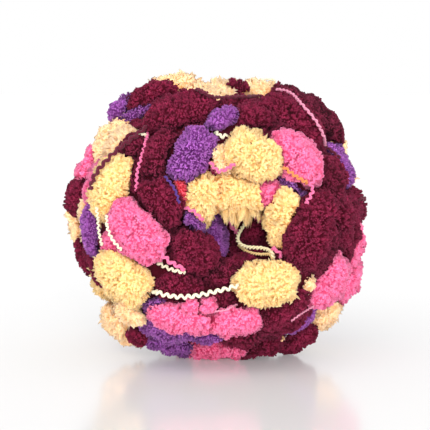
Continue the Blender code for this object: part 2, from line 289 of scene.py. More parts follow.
def steps_round(over, step):
    """How many steps of that length go round the hollow in the row that far over the rim."""
    girth = 2 * math.pi * (row_place(over, 0).x - HOLLOW_RIGHT)
    return max(1, round(girth / step))


def picked_dye():
    return dye_picks.choices(list(ROW_DYES), list(ROW_DYES.values()))[0]


taken = []
dye_picks = random.Random(3)
place = Vector((0, 0, row_place(0, -math.pi / 2).z))
axes = Vector((1, 0, 0)), Vector((0, 1, 0)), Vector((0, 0, -1))
lay(place + Vector((0, FOOT_BACK, 0)), axes, FOOT_LENGTH, FOOT_WIDTH, "pink")
taken.append((place, FOOT_ROOM))
for puff in FRONT_PUFFS:
    place = seen_place(puff.right * MM, puff.up * MM, puff.sink * MM)
    out = outward(place)
    turn = math.radians(puff.turn)
    seen = Vector((math.cos(turn), 0, math.sin(turn)))
    along = (seen - out * seen.dot(out)).normalized()
    axes = along, out.cross(along), out
    scale = seen_scale(place) * MM
    length, width = puff.length * scale, puff.width * scale
    lay(place, axes, length, width, puff.dye, True, puff.hang * MM, puff.tone)
    for way in (-END_ROOM, 0, END_ROOM):
        taken.append((place + along * puff.length * scale * way, puff.width * MM))
for over in ROWS:
    steps = steps_round(over, ROW_STEP)
    start = SPREAD.random()
    for step in range(steps):
        angle = 2 * math.pi * (start + step / steps)
        place = row_place(over, angle)
        width = PUFF_WIDTH * SPREAD.uniform(*SIZE_SPREAD)
        if any((place - other).length < ROOM * (width + wide) for other, wide in taken):
            continue
        out = outward(place)
        axes = slanted(out, angle, math.radians(SPREAD.uniform(-STEEPEST, STEEPEST)))
        sink = FRONT_ROWS_SINK if over < 0 else 0
        place += out * (SPREAD.uniform(-LIFT_SPREAD, LIFT_SPREAD) - sink)
        length = PUFF_LENGTH * SPREAD.uniform(*SIZE_SPREAD)
        dye = picked_dye()
        if over < RIM_BACK:
            seen_angle = math.degrees(math.atan2(place.z, place.x))
            dye = next(dye for up_to, dye in RIM_DYES.items() if seen_angle <= up_to)
        lay(place, axes, length, width, dye)
        taken.append((place, width))
for k in range(HOLLOW_PUFFS):
    angle = 2 * math.pi * k / HOLLOW_PUFFS
    spoke = Vector((math.cos(angle), 0, math.sin(angle)))
    place = Vector((HOLLOW_RIGHT, -HOLLOW_PUFF_DEPTH, HOLLOW_UP)) + spoke * HOLLOW_RADIUS
    axes = Vector((-math.sin(angle), 0, math.cos(angle))), Vector((0, 1, 0)), -spoke
    lay(place, axes, HOLLOW_PUFF_LENGTH, HOLLOW_PUFF_WIDTH, "wine")
place = Vector((HOLLOW_RIGHT, HOLLOW_FLOOR, HOLLOW_UP))
axes = Vector((1, 0, 0)), Vector((0, 0, 1)), Vector((0, -1, 0))
lay(place, axes, PUFF_LENGTH, PUFF_WIDTH, "wine")

# Where the outer turns leave a gap, a smaller puff of the turn below shows in it. UNDER_ROOM is how
# near its middle may come to any other's, and GAP how clear its place must be of any other puff,
# where 1 is on that puff's surface.
UNDER_ROWS = range(-66, 176, 6)
UNDER_STEP = 5 * MM
UNDER_SINK = 8.5 * MM
UNDER_LENGTH = 30 * MM
UNDER_WIDTH = 21 * MM
UNDER_ROOM = 14 * MM
GAP = 1.35


def depth_in(roll, points):
    """0 at a puff's middle, 1 on its surface, more outside."""
    local = (points - roll.place) @ roll.axes.T
    a = local[:, 0] / (roll.length / 2)
    b = local[:, 1] / (roll.width / 2)
    c = (local[:, 2] + roll.sag * a**2) / (roll.width / 2 * PUFF_THICKNESS)
    return np.abs(a) ** PUFF_BLUNTNESS + np.hypot(b, c) ** PUFF_BLUNTNESS


for over in UNDER_ROWS:
    steps = steps_round(over, UNDER_STEP)
    for step in range(steps):
        angle = 2 * math.pi * step / steps
        place = row_place(over, angle)
        spot = np.array([place])
        if any(np.linalg.norm(roll.place - spot[0]) < UNDER_ROOM for roll in rolls):
            continue
        if any(depth_in(roll, spot)[0] < GAP for roll in rolls):
            continue
        out = outward(place)
        axes = slanted(out, angle, math.radians(dye_picks.uniform(-STEEPEST, STEEPEST)))
        dye = picked_dye() if over > RIM_BACK else "wine"
        lay(place - out * UNDER_SINK, axes, UNDER_LENGTH, UNDER_WIDTH, dye, True)

# The pile: thousands of fine curled locks that stand all over each puff, thickest at their middle
# and drawn to a point. The body below them is the puff's roots, painted darker than the locks' ends as
# shade.

# For each dye: the colour of the locks and the colour of the painted shade in the creases, how far from
# the next puff a crease and its painted shade begin, the locks' height, width and spacing, how far they are
# combed and tousled, where their waist is, the share of wisps, and the tufts' width and pull. Lengths are
# in millimetres.
Dye = namedtuple("Dye", "colour crease reach lock width crowd comb tousle waist wisps clump gather")
DYES = {
    "wine": Dye((95, 8, 40), (12, 0, 4), 3.2, 2.2, 1.6, 1.25, 0.45, 0.3, 0.6, 0.00, 3.6, 0.45),
    "pink": Dye((222, 108, 148), (176, 28, 74), 1.75, 2.2, 1.8, 1.35, 0.45, 0.3, 0.6, 0.00, 4.6, 0.4),
    "yellow": Dye((235, 199, 141), (222, 152, 84), 1.75, 3.4, 1.9, 1.40, 0.40, 0.3, 0.55, 0.03, 5.5, 0.3),
    "cream": Dye((240, 204, 164), (225, 155, 95), 1.75, 3.4, 1.9, 1.40, 0.40, 0.3, 0.55, 0.03, 5.5, 0.3),
    "purple": Dye((143, 73, 147), (26, 2, 36), 2.2, 2.2, 1.3, 1.20, 0.40, 0.40, 0.6, 0.00, 2.8, 0.5),
    "coral": Dye((196, 56, 76), (130, 18, 32), 1.75, 2.2, 1.7, 1.30, 0.45, 0.3, 0.6, 0.00, 3.6, 0.45),
}

# The body under the locks, as shares of their height and of the puff. BODY_HIDDEN is how near another
# puff hides it, CORE_HIDES how deep the inner turns do, and COMPARED how near such a puff has to be.
BODY_AROUND = 20
BODY_ALONG = 14
BODY_DEPTH = 0.7
BODY_FIRST = 0.12
BODY_SPACING = 0.8
BODY_END = 0.999
BODY_HIDDEN = 0.75
CORE_HIDES = 5 * MM
COMPARED = 0.6

# The locks' places: a puff's girth beside a round one's, the area that each lock has beside the square
# of the gap between them, and how far it strays, as a share of the gap
PLACE_STEPS = 401
GIRTH = 0.93
PLACE_AREA = 0.866
STRAY = 0.3
LAST_PLACE = 0.9995

# A lock: three sides from its foot to its waist, and three more from there to its tip. The shares are
# of the lock's own height or width, and HEIGHTS are its corners' heights over the roots.
LOCK_SIDES = 3
LOCK_CORNERS = 7
LOCK_QUADS = np.array([(0, 1, 4, 3), (1, 2, 5, 4), (2, 0, 3, 5)])
LOCK_CAPS = np.array([(3, 4, 6), (4, 5, 6), (5, 3, 6)])
ROOT_DEPTH = 0.8 * MM
FOOT_WIDTH_SHARE = 0.8
HEIGHTS = [0, 0, 0, 0.6, 0.6, 0.6, 1]
# The finish paints shade by these heights, darkest at the roots and lightest at the tips, so BODY_HEIGHT
# sets how dark the body is painted
BODY_HEIGHT = 0.25
SOFT = 0.4
LOCK_HIDDEN = 0.94
LOCK_REACH = 0.5 * MM
SIZE_VARIES = 0.2
WIDTH_VARIES = (0.8, 1.2)
TONE_VARIES = (0.9, 1.08)

# The way a lock leans: with the locks round it as far as the comb goes, over at its tip, and a little
# down. A wisp is a longer, thinner lock that stands straighter.
COMB_SPAN = 9 * MM
COMB_SEED = 21
COMB_LEAN = 0.6
TIP_OUT = 0.25
TIP_LEAN = 1.5
TIP_TOUSLE = 0.25
TIP_DROOP = np.array([0, 0, 0.15])
WISP_TALL = 1.45
WISP_WIDE = 0.7
WISP_LEAN = 0.4
WISP_OUT = 0.6

# The creases between puffs, where the locks are shorter and painted shade darkens the dye
CREASE_SHADE = 0.75
CREASE_BLEND = 1.5
CREASE_SHORTER = 0.35

# The tufts: painted shade darkens the dye where they part too. Under a puff that hangs over the hollow they
# are drawn down, the more the lower they are, and hang free of one another.
PARTING = 0.8
PARTING_SHADE = 0.35
TUFT_PULL = (0.6, 1.1)
WAIST_PULL = 0.4
HANGING_CLUMP = 0.85
HANGING_GATHER = 0.9
HANGS_FROM = 0.35
HANGS_OVER = 0.3
DRAWN_DOWN = np.array([0, -0.3, -1])

# The largest piece, how much coarser the pile is on the puffs that the front doesn't show, the edges of
# the flat map's cells and the strip for the bodies as shares, and how low the pile is pressed
MOST_LOCKS = 19000
FAR_SIDE = 1.35
CELL_EDGE = 0.06
BODY_STRIP = 0.12
PRESSED_FLAT = 0.3 * MM
rng = np.random.default_rng(11)


def linear(colour):
    """A colour as it is seen, 0 to 255, in the light's own measure."""
    c = np.asarray(colour, float) / 255
    return np.where(c <= 0.04045, c / 12.92, ((c + 0.055) / 1.055) ** 2.4)


def unit(directions):
    """The same directions, each with the length 1."""
    return directions / np.linalg.norm(directions, axis=1)[:, None]


wave_axes = unit(rng.normal(size=(18, 3)))
wave_spans = np.repeat([15, 9, 5.5], 6) * MM
wave_heights = np.repeat([0.55, 0.45, 0.28], 6) * MM
wave_starts = rng.uniform(0, 2 * math.pi, 18)


def lumps(points):
    """How far the pile's surface stands in or out there, as it bunches up."""
    swing = np.sin(points @ wave_axes.T * (2 * math.pi / wave_spans) + wave_starts)
    return swing @ wave_heights


def comb(points):
    """A direction that changes slowly over the pile, as the locks are combed together."""
    turns = np.random.default_rng(COMB_SEED)
    axes = turns.normal(size=(9, 3))
    axes *= (2 * math.pi / COMB_SPAN) / np.linalg.norm(axes, axis=1)[:, None]
    swing = np.sin(points @ axes.T + turns.uniform(0, 2 * math.pi, 9))
    return swing.reshape(-1, 3, 3).sum(2)


def full(ends):
    """How thick a puff is there, as a share of its width."""
    return (1 - np.abs(ends) ** PUFF_BLUNTNESS) ** (1 / PUFF_BLUNTNESS)


def roll_surface(roll, ends, round_angles):
    """Points of a puff's surface and the directions out of it there. ends runs from -1 to 1."""
    fullness = full(ends)
    c, s = np.cos(round_angles), np.sin(round_angles)
    long, wide, deep = roll.length / 2, roll.width / 2, roll.width / 2 * PUFF_THICKNESS
    local = np.stack([ends * long, c * fullness * wide, s * fullness * deep - roll.sag * ends**2], 1)
    power = PUFF_BLUNTNESS - 1
    side = fullness**power
    slope = np.stack([
        np.sign(ends) * np.abs(ends) ** power / long + side * s * 2 * roll.sag * ends / (deep * long),
        side * c / wide,
        side * s / deep,
    ], 1)
    return roll.place + local @ roll.axes, unit(slope) @ roll.axes


def in_core(points):
    """True for the points that lie among the inner turns."""
    dx, dz = points[:, 0] - HOLLOW_RIGHT, points[:, 2] - HOLLOW_UP
    reach = np.hypot(dx, dz)
    middle, half = ring(dx / reach, dz / reach)
    share = (reach - middle) / (half - CORE_HIDES)
    dish = np.where(points[:, 1] > 0, BACK_DISH, FRONT_DISH)
    share = np.where(share < 0, share * dish, share)
    return share**2 + (points[:, 1] / (FACE - CORE_HIDES)) ** 2 < 1


def nearness(number, points):
    """How near another puff comes to those points of that puff: under 1 where it covers them."""
    nearest = np.full(len(points), 9.0)
    roll = rolls[number]
    for other_number, other in enumerate(rolls):
        if other_number == number:
            continue
        if np.linalg.norm(other.place - roll.place) < (other.length + roll.length) * COMPARED:
            nearest = np.minimum(nearest, depth_in(other, points))
    return nearest


def creased(near, reach):
    """1 down in the crease against the next puff, 0 that far away from it."""
    return np.clip((reach - near) / (reach - 1), 0, 1)


def scattered(roll, gap):
    """Evenly spread places over a puff: from end to end, and round it."""
    steps = np.linspace(-1, 1, PLACE_STEPS)
    fullness = full(steps) * roll.width / 2
    run = np.hypot(np.diff(fullness), np.diff(steps) * roll.length / 2)
    band = 2 * math.pi * (fullness[1:] + fullness[:-1]) / 2 * run * GIRTH
    total = np.concatenate([[0], np.cumsum(band)])
    count = int(total[-1] / (gap**2 * PLACE_AREA))
    order = (np.arange(count) + 0.5) / count
    ends = np.interp(order * total[-1], total, steps)
    angles = np.arange(count) * math.pi * (3 - math.sqrt(5))
    reach = np.maximum(np.interp(ends, steps, fullness), 2 * MM)
    ends = ends + rng.normal(0, STRAY, count) * gap / (roll.length / 2)
    ends = np.clip(ends, -LAST_PLACE, LAST_PLACE)
    angles = angles + rng.normal(0, STRAY, count) * gap / reach
    return ends, angles


def dye_with_painted_shade(dye, crease):
    """The yarn's colour there: the dye, with painted shade in the creases."""
    shade = CREASE_SHADE * crease[:, None] ** CREASE_BLEND
    return linear(dye.colour) * (1 - shade) + linear(dye.crease) * shade


def grid(rows, columns):
    """The row and the column of each place in a grid, row after row."""
    return (steps.ravel() for steps in np.meshgrid(np.arange(rows), np.arange(columns), indexing="ij"))


def tube_quads(along, around):
    """The faces of a tube whose corners are rings of that many, one ring after another."""
    i, j = grid(along, around)
    k = (j + 1) % around
    return np.stack([i * around + j, (i + 1) * around + j, (i + 1) * around + k, i * around + k], 1)


# A grown puff: the body's corners, faces, colours and directions out, and then the same for the locks
Pile = namedtuple("Pile", "body quads body_dye body_face locks lock_quads lock_caps lock_dye lock_face")


def packed_body(number):
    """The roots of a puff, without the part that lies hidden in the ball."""
    roll = rolls[number]
    dye = DYES[roll.dye]
    ends = -np.cos(np.linspace(BODY_FIRST, math.pi - BODY_FIRST, BODY_ALONG))
    ends = np.sign(ends) * np.abs(ends) ** BODY_SPACING
    ends[0], ends[-1] = -BODY_END, BODY_END
    rounds = np.arange(BODY_AROUND) * 2 * math.pi / BODY_AROUND
    i, j = grid(BODY_ALONG, BODY_AROUND)
    points, outs = roll_surface(roll, ends[i], rounds[j])
    body = points + outs * (lumps(points) - dye.lock * BODY_DEPTH * MM)[:, None]
    quads = tube_quads(BODY_ALONG - 1, BODY_AROUND)
    if np.linalg.det(roll.axes) > 0:
        quads = quads[:, ::-1]
    near = nearness(number, points)
    hidden = (near < BODY_HIDDEN) | in_core(points)
    # Painted shade: the dye is darker in the creases against the next puff, and darker by the puff's tone
    # where it lies further back
    body_dye = dye_with_painted_shade(dye, creased(near, dye.reach)) * roll.tone
    return body, quads[~hidden[quads].all(1)], body_dye, outs


def gather_tufts(roll, roots, waist, tip, crease):
    """Draws the locks together into tufts. Returns how far each lies in a parting between them."""
    dye = DYES[roll.dye]
    clump = dye.clump * MM * (HANGING_CLUMP if roll.hang else 1)
    tuft_roots, tuft_outs = roll_surface(roll, *scattered(roll, clump))
    apart = np.linalg.norm(roots[:, None] - tuft_roots[None], axis=2)
    order = np.argsort(apart, axis=1)[:, :2]
    nearest, next_one = np.take_along_axis(apart, order, 1).T
    low = np.clip((-tuft_outs[:, 2] - HANGS_FROM) / HANGS_OVER, 0, 1) * rng.random(len(tuft_outs)) ** 1.3
    low *= tuft_outs[:, 1] < HANGS_FROM
    heart = (tuft_roots + tuft_outs * dye.lock * MM)[order[:, 0]]
    heart += DRAWN_DOWN * roll.hang * low[order[:, 0], None]
    gather = dye.gather + (HANGING_GATHER - dye.gather) * low[order[:, 0]] * (roll.hang > 0)
    pull = rng.uniform(*TUFT_PULL, len(roots))
    tip += (heart - tip) * (gather * pull * (1 - 0.5 * crease))[:, None]
    waist += (heart - waist) * (WAIST_PULL * gather)[:, None]
    return np.clip(1 - (next_one - nearest) / (PARTING * dye.clump * MM), 0, 1)


def grow(number):
    """One puff with its pile."""
    roll = rolls[number]
    dye = DYES[roll.dye]
    coarser = 1 if roll.front else FAR_SIDE
    roots, outs = roll_surface(roll, *scattered(roll, dye.crowd * MM * coarser))
    near = nearness(number, roots + outs * LOCK_REACH)
    shown = (near > LOCK_HIDDEN) & ~in_core(roots) & (roots[:, 2] > ORIGIN.z + LOCK_REACH)
    roots, outs = roots[shown], outs[shown]
    crease = creased(near[shown], dye.reach)
    count = len(roots)
    roots = roots + outs * (lumps(roots) - dye.lock * BODY_DEPTH * MM)[:, None]
    lean = comb(roots) * COMB_LEAN * dye.comb + rng.normal(0, dye.tousle, (count, 3))
    lean -= outs * (lean * outs).sum(1)[:, None]
    size = rng.lognormal(0, SIZE_VARIES, count) * coarser
    tall = dye.lock * MM * size * (1 - CREASE_SHORTER * crease)
    wide = dye.width * MM / 2 * rng.uniform(*WIDTH_VARIES, count) * coarser
    wisp = rng.random(count) < dye.wisps
    tall[wisp] *= WISP_TALL
    wide[wisp] *= WISP_WIDE
    lean[wisp] *= WISP_LEAN
    aim = unit(outs + lean)
    flop = outs * TIP_OUT + lean * TIP_LEAN + rng.normal(0, TIP_TOUSLE, (count, 3)) - TIP_DROOP
    flop[wisp] += outs[wisp] * WISP_OUT
    flop = unit(flop)
    side = unit(np.cross(aim, rng.normal(size=(count, 3))))
    other = np.cross(aim, side)
    foot = roots - outs * ROOT_DEPTH
    waist = roots + aim * (tall * dye.waist)[:, None]
    tip = waist + flop * (tall * (1 - dye.waist))[:, None]
    parting = gather_tufts(roll, roots, waist, tip, crease)
    corners, facing = [], []
    for centre, reach in ((foot, wide * FOOT_WIDTH_SHARE), (waist, wide)):
        for k in range(LOCK_SIDES):
            turn = 2 * math.pi * k / LOCK_SIDES
            round_it = side * math.cos(turn) + other * math.sin(turn)
            corners.append(centre + round_it * reach[:, None])
            facing.append(outs + round_it * SOFT)
    corners.append(tip)
    facing.append(outs + flop * SOFT)
    first = np.arange(count)[:, None, None] * LOCK_CORNERS
    # Painted shade: the dye is darker in the creases and the partings, and by the puff's tone; the rest of
    # each lock's tone varies at random
    shade = np.maximum(crease, PARTING_SHADE * parting**3)
    lock_dye = dye_with_painted_shade(dye, shade) * roll.tone * rng.uniform(*TONE_VARIES, (count, 1))
    return Pile(
        *packed_body(number),
        np.stack(corners, 1).reshape(-1, 3),
        (first + LOCK_QUADS).reshape(-1, 4),
        (first + LOCK_CAPS).reshape(-1, 3),
        np.repeat(lock_dye, LOCK_CORNERS, 0),
        np.stack(facing, 1).reshape(-1, 3),
    )


def to_world(points):
    """From the form's frame to the ball's own, pressed flat where the ball stands."""
    moved = points - np.array(ORIGIN)
    moved[:, 2] = np.maximum(moved[:, 2], PRESSED_FLAT)
    return moved


def tube_map(faces, around, along):
    """Where the faces of a tube's grid lie when it is cut open and rolled out flat, 0 to 1 each way."""
    i, j = np.divmod(faces, around)
    j = np.where((j == 0) & (j.max(1, keepdims=True) == around - 1), around, j)
    return np.stack([j / around, i / along], 2)


def in_cells(flat, numbers, columns, rows, bottom=0.0, top=1.0):
    """Lays each of the flat maps in the cell of its number, a little in from the cell's edges."""
    cell = np.stack([numbers % columns, numbers // columns], 1)[:, None]
    laid = (cell + CELL_EDGE + flat * (1 - 2 * CELL_EDGE)) / np.array([columns, rows])
    laid[:, :, 1] = bottom + laid[:, :, 1] * (top - bottom)
    return laid


def placed(name, made):
    """Puts a mesh, a light or a camera in the scene."""
    thing = bpy.data.objects.new(name, made)
    bpy.context.scene.collection.objects.link(thing)
    return thing


def keep_dyes_and_shade(mesh, dyes):
    """Keeps the colour at each of the mesh's corners, the dye with any painted shade in it, for the finish
    to read.
    """
    colour = mesh.attributes.new("dye", "FLOAT_COLOR", "POINT")
    colour.data.foreach_set("color", np.concatenate([dyes, np.ones((len(dyes), 1))], 1).ravel())


def lay_flat(mesh, places):
    """Gives the mesh the flat map that its colours are kept through."""
    layer = mesh.uv_layers.new(name="OFBake")
    layer.uv.foreach_set("vector", np.concatenate([place.reshape(-1, 2) for place in places]).ravel())


def pile_map(grown):
    """The flat map of several puffs: their bodies in a strip at the bottom, each lock in its own cell."""
    sides = range(LOCK_SIDES)
    side_map = np.array([[(k, 0), (k + 1, 0), (k + 1, 1.5), (k, 1.5)] for k in sides]) / LOCK_SIDES
    cap_map = np.array([[(k, 1.5), (k + 1, 1.5), (k + 0.5, 3)] for k in sides]) / LOCK_SIDES
    locks = sum(len(puff.locks) // LOCK_CORNERS for puff in grown)
    columns = math.ceil(math.sqrt(locks))
    places, first = [], 0
    for number, puff in enumerate(grown):
        body = tube_map(puff.quads, BODY_AROUND, BODY_ALONG - 1)
        places.append(in_cells(body, np.full(len(body), number), len(grown), 1, 0, BODY_STRIP))
        count = len(puff.locks) // LOCK_CORNERS
        owner = np.repeat(np.arange(first, first + count), LOCK_SIDES)
        for shape in (side_map, cap_map):
            places.append(in_cells(np.tile(shape, (count, 1, 1)), owner, columns, columns, BODY_STRIP, 1))
        first += count
    return places


def pile_piece(name, grown):
    """One mesh of several puffs, with the colour and the height over the roots at each corner."""
    places, faces, dyes, heights, facing = [], [], [], [], []
    start = 0
    for puff in grown:
        facing += [puff.body_face, puff.lock_face]
        after = start + len(puff.body)
        faces += [puff.quads + start, puff.lock_quads + after, puff.lock_caps + after]
        places += [puff.body, puff.locks]
        dyes += [puff.body_dye, puff.lock_dye]
        heights += [np.full(len(puff.body), BODY_HEIGHT), np.tile(HEIGHTS, len(puff.locks) // LOCK_CORNERS)]
        start = after + len(puff.locks)
    places = to_world(np.concatenate(places))
    mesh = bpy.data.meshes.new(name)
    mesh.vertices.add(len(places))
    mesh.vertices.foreach_set("co", places.ravel())
    sizes = np.concatenate([np.full(len(f), f.shape[1]) for f in faces])
    mesh.loops.add(int(sizes.sum()))
    mesh.loops.foreach_set("vertex_index", np.concatenate([f.ravel() for f in faces]))
    mesh.polygons.add(len(sizes))
    mesh.polygons.foreach_set("loop_start", np.concatenate([[0], np.cumsum(sizes)[:-1]]))
    mesh.polygons.foreach_set("use_smooth", np.ones(len(sizes), bool))
    mesh.update(calc_edges=True)
    facing = np.concatenate(facing)
    mesh.normals_split_custom_set_from_vertices(unit(facing))
    keep_dyes_and_shade(mesh, np.concatenate(dyes))
    height = mesh.attributes.new("height", "FLOAT", "POINT")
    height.data.foreach_set("value", np.concatenate(heights))
    lay_flat(mesh, pile_map(grown))
    return placed(name, mesh)


BUMP_HEIGHT = 0.3 * MM


class Value:
    """A number on its way through a finish. Sums on it add Math nodes."""

    def __init__(self, finish, socket):
        self.finish = finish
        self.socket = socket

    def sum_of(self, operation, *parts):
        return self.finish.node("ShaderNodeMath", {"operation": operation}, dict(enumerate(parts)))

    def __add__(self, other):
        return self.sum_of("ADD", self, other)

    def __sub__(self, other):
        return self.sum_of("SUBTRACT", self, other)

    def __rsub__(self, other):
        return self.sum_of("SUBTRACT", other, self)

    def __mul__(self, other):
        return self.sum_of("MULTIPLY", self, other)

    __radd__ = __add__
    __rmul__ = __mul__


class Finish:
    """A material or a room's light under construction."""

    def __init__(self, made, surface="Principled BSDF"):
        self.made = made
        made.use_nodes = True
        self.tree = made.node_tree
        self.surface = self.tree.nodes[surface]

    def put(self, node, sockets):
        for key, value in sockets.items():
            if isinstance(value, Value):
                self.tree.links.new(value.socket, node.inputs[key])
            else:
                node.inputs[key].default_value = value

    def node(self, kind, settings, sockets, output=0):
        made = self.tree.nodes.new(kind)
        for key, value in settings.items():
            setattr(made, key, value)
        self.put(made, sockets)
        return Value(self, made.outputs[output])

    def mix(self, blend, factor, first, second):
        settings = {"data_type": "RGBA", "blend_type": blend}
        return self.node("ShaderNodeMix", settings, {0: factor, 6: first, 7: second}, 2)

    def kept(self, name, output):
        """What the mesh keeps under that name at its corners."""
        return self.node("ShaderNodeAttribute", {"attribute_name": name}, {}, output)

    def noise(self, scale, detail):
        grain = {"Scale": scale, "Detail": detail}
        grain["Vector"] = self.node("ShaderNodeTexCoord", {}, {}, "Object")
        return self.node("ShaderNodeTexNoise", {}, grain, "Fac")

    def toned(self, colour, tone):
        """The colour, made lighter or darker by the tone."""
        grey = self.node("ShaderNodeCombineColor", {}, {0: tone, 1: tone, 2: tone})
        return self.mix("MULTIPLY", 1.0, colour, grey)

    def bump(self, strength, height):
        rise = {"Strength": strength, "Distance": BUMP_HEIGHT, "Height": height}
        return self.node("ShaderNodeBump", {}, rise)


def pile_finish(name, depth, tip_highlight, sheen_and_highlight_tint, scatter, mottle=0.6):
    """Soft pile: painted shade, dark and deep, at the roots, and a pale painted highlight at the ends of
    the locks.
    """
    sheen_and_highlight_tint = (*linear(sheen_and_highlight_tint), 1)
    finish = Finish(bpy.data.materials.new(name))
    dye = finish.kept("dye", "Color")
    height = finish.kept("height", "Fac")
    fibre = finish.noise(1700, 2)
    bunch = finish.noise(230, 2)
    # Painted shade: the dye, darker and deeper at the roots of the locks
    roots = finish.node("ShaderNodeGamma", {}, {"Color": dye, "Gamma": depth})
    lift = finish.node(
        "ShaderNodeMapRange",
        {"clamp": True},
        {"Value": height + (fibre - 0.5) * 0.5, "From Min": -0.1, "From Max": 0.75},
    )
    body = finish.mix("MIX", lift, roots, dye)
    # Painted highlight: the ends of the locks lean to the pale sheen tint
    tips = finish.node(
        "ShaderNodeMapRange",
        {"clamp": True},
        {"Value": height + bunch * 0.5, "From Min": 0.55, "From Max": 1.35},
    )
    lit = finish.mix("MIX", tips * tip_highlight, body, sheen_and_highlight_tint)
    tone = (fibre - 0.5) * 0.5 + (bunch - 0.5) * mottle + 1.0
    finish.surface.subsurface_method = "BURLEY"
    finish.put(finish.surface, {
        "Base Color": finish.toned(lit, tone),
        "Roughness": 0.9,
        "Normal": finish.bump(0.5, fibre),
        "Subsurface Weight": 0.85,
        "Subsurface Radius": scatter,
        "Subsurface Scale": 2.5 * MM,
        "Specular IOR Level": 0.2,
        "Sheen Weight": 0.25,
        "Sheen Roughness": 0.5,
        "Sheen Tint": sheen_and_highlight_tint,
    })
    return finish.made


# Each finish: how deep the painted shade at the roots is, how strong the painted highlight at the ends of
# the locks is, the pale tint of that highlight and of the sheen, how far light scatters in the pile, and
# how mottled it is
FINISHES = {
    "wine": pile_finish("wine_pile", 1.45, 0.3, (182, 68, 104), (0.5, 0.3, 0.35), 1.8),
    "pink": pile_finish("pink_pile", 1.5, 0.25, (255, 185, 220), (1, 0.5, 0.7)),
    "yellow": pile_finish("yellow_pile", 1.45, 0.2, (255, 248, 205), (1, 0.8, 0.5)),
    "cream": pile_finish("cream_pile", 1.45, 0.22, (255, 248, 220), (1, 0.8, 0.5)),
    "purple": pile_finish("purple_pile", 2.2, 0.26, (205, 150, 225), (0.5, 0.3, 0.6), 1.2),
    "coral": pile_finish("coral_pile", 1.3, 0.2, (255, 160, 170), (1, 0.5, 0.5)),
}

crowns = []
for dye in DYES:
    batches, locks_in = [[]], 0
    for number, roll in enumerate(rolls):
        if roll.dye != dye:
            continue
        grown = grow(number)
        crowns.append((grown.body + grown.body_face * DYES[dye].lock * MM, grown.quads))
        count = len(grown.locks) // LOCK_CORNERS
        if batches[-1] and locks_in + count > MOST_LOCKS:
            batches.append([])
            locks_in = 0
        batches[-1].append(grown)
        locks_in += count
    for batch_number, batch in enumerate(batches, 1):
        piece = pile_piece(f"{dye}_puffs_{batch_number}", batch)
        piece.data.materials.append(FINISHES[dye])
        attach(piece, "root")
        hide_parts("yarn_ball")

# The inner turns. The same yarn, wound before the outer turns and packed under them: only its bulk shows,
# deep between the puffs and in the hollow, darkened by the roots' painted shade, as its height is low. It
# is one lumpy body of pressed pile.

CORE_INSET = 3.5 * MM
CORE_SPOKES = 150
CORE_STEPS = 60
CORE_BACK_STEPS = 10
CORE_HEIGHT = 0.1


def inner_profile(angle):
    """The inner turns' outline from the hollow's floor, over the front, rim and back, to the axis."""
    middle, half = ring_at(angle)
    width, face = half - CORE_INSET, FACE - CORE_INSET
    lip = middle - width
    outline = [(0.0, HOLLOW_FLOOR), (lip / 2, HOLLOW_FLOOR), (lip, HOLLOW_FLOOR - HOLLOW_PUFF_DEPTH)]
    for step in range(CORE_STEPS + 1):
        turn = math.pi * (1 - 1.5 * step / CORE_STEPS)
        share = math.cos(turn)
        y = face * math.sin(turn)
        if share < 0 < turn:
            y = face * math.sqrt(1 - (share * FRONT_DISH) ** 2)
        outline.append((middle + width * share, -y))
    for portion in np.linspace(0.9, 0.0, CORE_BACK_STEPS):
        reach = middle * portion
        share = BACK_DISH * (reach - middle) / half
        outline.append((reach, face * math.sqrt(1 - share * share)))
    return outline


columns = []
for k in range(CORE_SPOKES):
    angle = 2 * math.pi * k / CORE_SPOKES
    columns.append([
        (HOLLOW_RIGHT + reach * math.cos(angle), y, HOLLOW_UP + reach * math.sin(angle))
        for reach, y in inner_profile(angle)
    ])
core = np.array(columns)
rows = core.shape[1]
core = core.reshape(-1, 3)
off_axis = core - np.array([HOLLOW_RIGHT, 0, HOLLOW_UP])
core = core + off_axis / np.maximum(np.linalg.norm(off_axis, axis=1), MM)[:, None] * lumps(core)[:, None]
i, j = grid(CORE_SPOKES, rows - 1)
k = (i + 1) % CORE_SPOKES
inner_quads = np.stack([i * rows + j, i * rows + j + 1, k * rows + j + 1, k * rows + j], 1)
mesh = bpy.data.meshes.new("inner_turns")
mesh.from_pydata(to_world(core).tolist(), [], inner_quads.tolist())
height = mesh.attributes.new("height", "FLOAT", "POINT")
height.data.foreach_set("value", np.full(len(core), CORE_HEIGHT))
keep_dyes_and_shade(mesh, np.tile(linear(DYES["wine"].colour), (len(core), 1)))
mesh.shade_smooth()
lay_flat(mesh, [tube_map(inner_quads % rows * CORE_SPOKES + inner_quads // rows, CORE_SPOKES, rows - 1)])
inner = placed("inner_turns", mesh)
mesh.materials.append(FINISHES["wine"])
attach(inner, "root")
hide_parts("yarn_ball")

# The chain. One thin cord runs through all the puffs: two soft plies twisted together and drawn into
# waves by the stitch that locks each puff. It shows only where it is pulled from one puff over to
# the next, and there it has the dye of the yarn.

PLY_THICKNESS = 1.35 * MM
PLY_TWIST = 5 * MM
PLY_SIDES = 6
WAVE_HEIGHT = 0.7 * MM
WAVE_LENGTH = 4.25 * MM
RING_STEP = 0.5 * MM
CHAIN_LIFT = 1.2 * MM
MOST_SLANT = 3
CHAIN_TUCK = 2.5 * MM
CHAIN_SLACK = 0.12
SLANT_EVENED = 4
TAUT_EVENED = 5
SLACK_EVENED = 3
# GROOVE_SHADE is painted shade in the grooves where the two plies meet
GROOVE_SHADE = 0.16
FEWEST_RINGS = 8
CHAIN_DYES = {
    "cream": (255, 247, 216), "pink": (252, 120, 170), "wine": (98, 20, 46), "peach": (252, 216, 150),
    "orange": (240, 150, 85), "violet": (92, 54, 138), "rose": (238, 150, 180), "straw": (255, 242, 196),
    "yellow": (253, 236, 180), "purple": (140, 80, 170),
}

